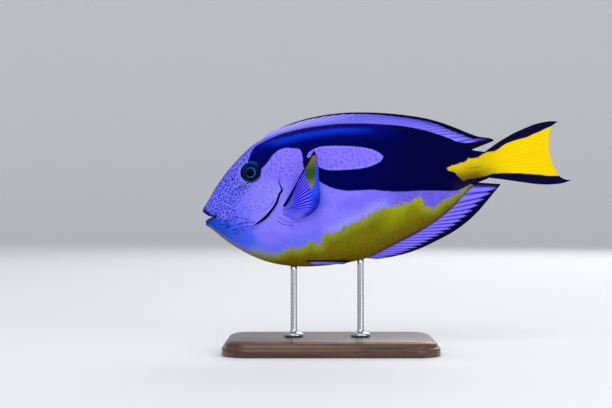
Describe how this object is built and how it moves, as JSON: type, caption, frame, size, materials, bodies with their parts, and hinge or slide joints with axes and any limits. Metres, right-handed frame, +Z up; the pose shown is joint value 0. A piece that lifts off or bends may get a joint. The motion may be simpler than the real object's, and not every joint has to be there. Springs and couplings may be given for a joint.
{
  "type": "regal blue tang display model",
  "caption": "Life-size still model of a deep-bodied violet-blue reef fish with dark markings and a yellow tail, held nose-down on two rods over a flat base.",
  "frame": {"origin": "on the floor, under the middle of the whole model's length and width", "axes": "+X towards the tail (the nose points along -X, pitched down), +Y towards the fish's right side, +Z up"},
  "size_m": [0.2214, 0.078, 0.1438],
  "materials": {
    "skin_blue": "satin, moist skin",
    "fin_violet": "satin fin membrane over rays",
    "tail_yellow": "satin fin membrane over rays",
    "eye_dark": "polished, wet",
    "scalpel_pale": "smooth",
    "base_wood": "dark, satin varnish",
    "rod_steel": "brushed"
  },
  "bodies": {
    "root": {"head": "skin_blue", "trunk": "skin_blue", "tail_stalk": "skin_blue", "dorsal_fin": "fin_violet", "anal_fin": "fin_violet", "caudal_fin": "tail_yellow", "pectoral_fin_left": "fin_violet", "pectoral_fin_right": "fin_violet", "pelvic_fin_left": "fin_violet", "pelvic_fin_right": "fin_violet", "eye_left": "eye_dark", "eye_right": "eye_dark", "scalpel_left": "scalpel_pale", "scalpel_right": "scalpel_pale", "stand_base": "base_wood", "stand_rod_front": "rod_steel", "stand_rod_rear": "rod_steel"}
  },
  "joints": []
}
